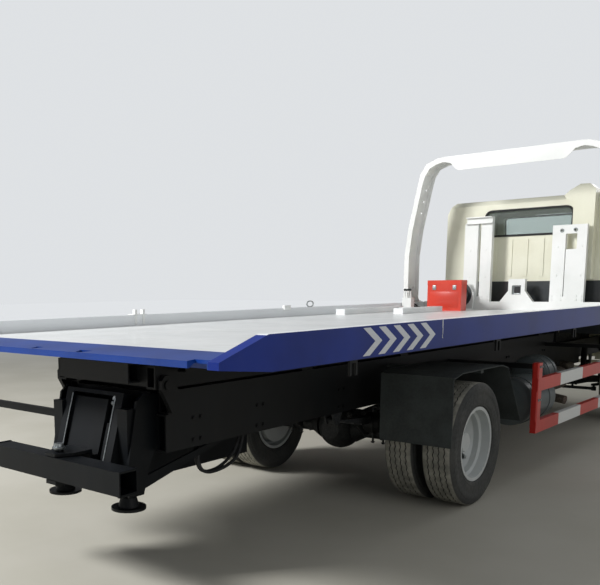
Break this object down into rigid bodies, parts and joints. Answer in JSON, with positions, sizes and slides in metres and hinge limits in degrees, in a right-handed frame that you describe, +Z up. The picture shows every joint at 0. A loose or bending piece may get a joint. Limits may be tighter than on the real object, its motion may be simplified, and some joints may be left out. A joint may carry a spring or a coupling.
{
  "type": "flatbed tow truck",
  "caption": "Flatbed tow truck with a sliding and tilting bed, an underlift at the tail and a tilting cab, to scale.",
  "frame": {"origin": "On the ground under the middle of the truck, halfway between the bumper's front face and the tail's rear face.", "axes": "+Z up, -Y to the front of the truck, +X to its left side."},
  "size_m": [2.48, 8.5, 2.9049],
  "materials": {
    "chassis_paint": "satin",
    "cast_iron": "rough",
    "tank_paint": "satin",
    "black_plastic": "matte",
    "guard_red": "satin",
    "lamp_lens": "gloss",
    "exhaust_steel": "dull",
    "cab_paint": "gloss",
    "glass": "clear",
    "seat_fabric": "woven",
    "rim_silver": "satin",
    "tyre_rubber": "matte",
    "deck_white": "satin",
    "rail_blue": "gloss",
    "winch_grey": "satin",
    "box_red": "gloss",
    "rod_chrome": "polished"
  },
  "bodies": {
    "chassis": {"chassis_frame": "chassis_paint", "subframe": "chassis_paint", "engine_and_driveline": "cast_iron", "axles": "cast_iron", "leaf_springs": "cast_iron", "tanks": "tank_paint", "battery_box": "black_plastic", "side_guards": "guard_red", "mudguards": "black_plastic", "front_bumper": "chassis_paint", "lamps": "lamp_lens", "exhaust": "exhaust_steel", "underlift_column": "chassis_paint", "lift_rod": "rod_chrome"},
    "cab": {"cab_floor": "cab_paint", "cab_rear_wall": "cab_paint", "cab_roof": "cab_paint", "cab_front": "cab_paint", "cab_sides": "cab_paint", "cab_glass": "glass", "seats": "seat_fabric", "dashboard": "black_plastic", "intake_duct": "cab_paint", "mirrors": "black_plastic"},
    "door_left": {"door_left": "cab_paint", "door_glass_left": "glass"},
    "door_right": {"door_right": "cab_paint", "door_glass_right": "glass"},
    "steering_wheel": {"steering_wheel": "black_plastic"},
    "knuckle_left": {"knuckle_left": "cast_iron"},
    "knuckle_right": {"knuckle_right": "cast_iron"},
    "tie_rod": {"tie_rod": "cast_iron"},
    "front_wheel_left": {"front_rim_left": "rim_silver", "front_tyre_left": "tyre_rubber"},
    "front_wheel_right": {"front_rim_right": "rim_silver", "front_tyre_right": "tyre_rubber"},
    "rear_wheels_left": {"rear_rims_left": "rim_silver", "rear_tyres_left": "tyre_rubber"},
    "rear_wheels_right": {"rear_rims_right": "rim_silver", "rear_tyres_right": "tyre_rubber"},
    "tilt_frame": {"tilt_frame": "chassis_paint"},
    "tilt_barrels": {"tilt_barrels": "chassis_paint"},
    "tilt_rods": {"tilt_rods": "rod_chrome"},
    "bed": {"bed_deck": "deck_white", "bed_frame": "chassis_paint", "bed_rails": "rail_blue", "tail_plate": "rail_blue", "hoop_legs": "deck_white", "hoop_crown": "deck_white", "head_posts": "deck_white", "winch_frame": "winch_grey", "tool_box": "box_red", "lift_forks": "deck_white"},
    "winch_drum": {"winch_drum": "winch_grey"},
    "underlift_carriage": {"underlift_carriage": "chassis_paint"},
    "underlift_boom": {"underlift_boom": "chassis_paint"},
    "crossbar": {"crossbar": "chassis_paint"},
    "support_feet": {"support_feet": "chassis_paint"}
  },
  "joints": [
    {"name": "cab_tilt", "type": "hinge", "parent": "chassis", "child": "cab", "pos_m": [0, -4.11, 0.7], "axis": [1, 0, 0], "range_deg": [0, 45]},
    {"name": "door_left_swing", "type": "hinge", "parent": "cab", "child": "door_left", "pos_m": [0.985, -3.98, 1.65], "axis": [0, 0, -1], "range_deg": [0, 68]},
    {"name": "door_right_swing", "type": "hinge", "parent": "cab", "child": "door_right", "pos_m": [-0.985, -3.98, 1.65], "axis": [0, 0, 1], "range_deg": [0, 68]},
    {"name": "steering", "type": "hinge", "parent": "chassis", "child": "knuckle_left", "pos_m": [0.69, -3, 0.43], "axis": [0, 0, 1], "range_deg": [-33, 33]},
    {"name": "steering_right", "type": "hinge", "parent": "chassis", "child": "knuckle_right", "pos_m": [-0.69, -3, 0.43], "axis": [0, 0, 1], "range_deg": [-33, 33]},
    {"name": "tie_rod_slide", "type": "slide", "parent": "chassis", "child": "tie_rod", "axis": [1, 0, 0], "range_m": [-0.095, 0.095]},
    {"name": "steering_wheel_turn", "type": "hinge", "parent": "cab", "child": "steering_wheel", "pos_m": [0.6, -3.64, 1.64], "axis": [0, 0.4695, 0.8829], "range_deg": [-600, 600]},
    {"name": "front_wheel_left_roll", "type": "hinge", "parent": "knuckle_left", "child": "front_wheel_left", "pos_m": [0.8825, -3, 0.4275], "axis": [1, 0, 0], "continuous": true},
    {"name": "front_wheel_right_roll", "type": "hinge", "parent": "knuckle_right", "child": "front_wheel_right", "pos_m": [-0.8825, -3, 0.4275], "axis": [1, 0, 0], "continuous": true},
    {"name": "rear_wheels_left_roll", "type": "hinge", "parent": "chassis", "child": "rear_wheels_left", "pos_m": [0.85, 1.45, 0.4275], "axis": [1, 0, 0], "continuous": true},
    {"name": "rear_wheels_right_roll", "type": "hinge", "parent": "chassis", "child": "rear_wheels_right", "pos_m": [-0.85, 1.45, 0.4275], "axis": [1, 0, 0], "continuous": true},
    {"name": "bed_tilt", "type": "hinge", "parent": "chassis", "child": "tilt_frame", "pos_m": [0, 3.81, 1.02], "axis": [-1, 0, 0], "range_deg": [0, 15.5]},
    {"name": "bed_slide", "type": "slide", "parent": "tilt_frame", "child": "bed", "axis": [0, 1, 0], "range_m": [0, 3.7]},
    {"name": "tilt_barrel_swing", "type": "hinge", "parent": "chassis", "child": "tilt_barrels", "pos_m": [0, 2.1, 0.74], "axis": [-1, 0, 0], "range_deg": [0, 30]},
    {"name": "tilt_rod_stroke", "type": "slide", "parent": "tilt_barrels", "child": "tilt_rods", "axis": [0, -0.984, 0.1783], "range_m": [0, 0.3]},
    {"name": "winch_drum_turn", "type": "hinge", "parent": "bed", "child": "winch_drum", "pos_m": [0.62, -1.9275, 1.4], "axis": [0, 1, 0], "continuous": true},
    {"name": "underlift_raise", "type": "slide", "parent": "chassis", "child": "underlift_carriage", "axis": [0, 0.2873, -0.9578], "range_m": [0, 0.25]},
    {"name": "underlift_extend", "type": "slide", "parent": "underlift_carriage", "child": "underlift_boom", "axis": [0, 1, 0], "range_m": [0, 0.7]},
    {"name": "crossbar_swing", "type": "hinge", "parent": "underlift_boom", "child": "crossbar", "pos_m": [0, 4.19, 0.598], "axis": [0, 0, 1], "range_deg": [-15, 15]},
    {"name": "support_feet_lower", "type": "slide", "parent": "chassis", "child": "support_feet", "axis": [0, 0, -1], "range_m": [0, 0.34]}
  ],
  "couplings": [
    {"joint": "steering_right", "follows": "steering", "ratio": 1},
    {"joint": "tie_rod_slide", "follows": "steering", "m_per_rad": -0.1608},
    {"joint": "steering_wheel_turn", "follows": "steering", "ratio": 18},
    {"joint": "tilt_barrel_swing", "follows": "bed_tilt", "ratio": 1.8201},
    {"joint": "tilt_rod_stroke", "follows": "bed_tilt", "m_per_rad": 0.96388}
  ]
}
